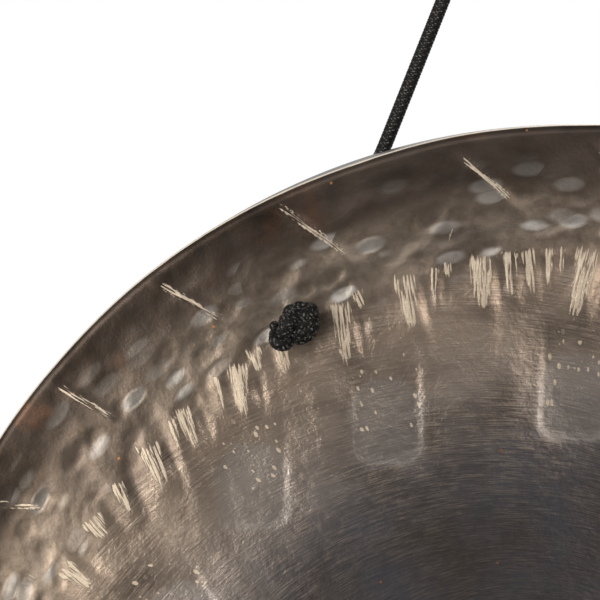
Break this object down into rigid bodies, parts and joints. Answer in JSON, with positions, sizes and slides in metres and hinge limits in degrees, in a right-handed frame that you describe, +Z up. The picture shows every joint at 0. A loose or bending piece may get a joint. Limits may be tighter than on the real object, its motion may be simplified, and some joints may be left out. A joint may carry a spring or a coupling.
{
  "type": "tam-tam gong",
  "caption": "Flat bronze gong with a turned-back rim and hammered, scraped face, hanging by a black braided cord knotted through holes near its top edge.",
  "frame": {"origin": "inside top of the cord's loop, at the middle of its bight, where a hook carries the gong", "axes": "+Z up, -Y the way the struck face looks, +X to the right of someone facing the gong"},
  "size_m": [0.5988, 0.1468, 0.7809],
  "materials": {
    "bronze": "dark brown patinated bronze, hammered, brushed on a lathe and scraped bright in places, worn bright on the rim's edge",
    "cord": "black braided polyester cord"
  },
  "bodies": {
    "hook_bight": {"cord_bight": "cord"},
    "cord_legs": {"cord_leg_left": "cord", "cord_leg_right": "cord"},
    "gong": {"gong": "bronze", "cord_tie_left": "cord", "cord_tie_right": "cord", "stopper_knot_left": "cord", "stopper_knot_right": "cord", "tail_knot_left": "cord", "tail_knot_right": "cord"}
  },
  "joints": [
    {"name": "loop_swing", "type": "hinge", "parent": "hook_bight", "child": "cord_legs", "pos_m": [0, 0, -0.0053], "axis": [1, 0, 0], "range_deg": [-25, 25]},
    {"name": "gong_tilt", "type": "hinge", "parent": "cord_legs", "child": "gong", "pos_m": [0, 0, -0.19518], "axis": [1, 0, 0], "range_deg": [-20, 20]}
  ]
}
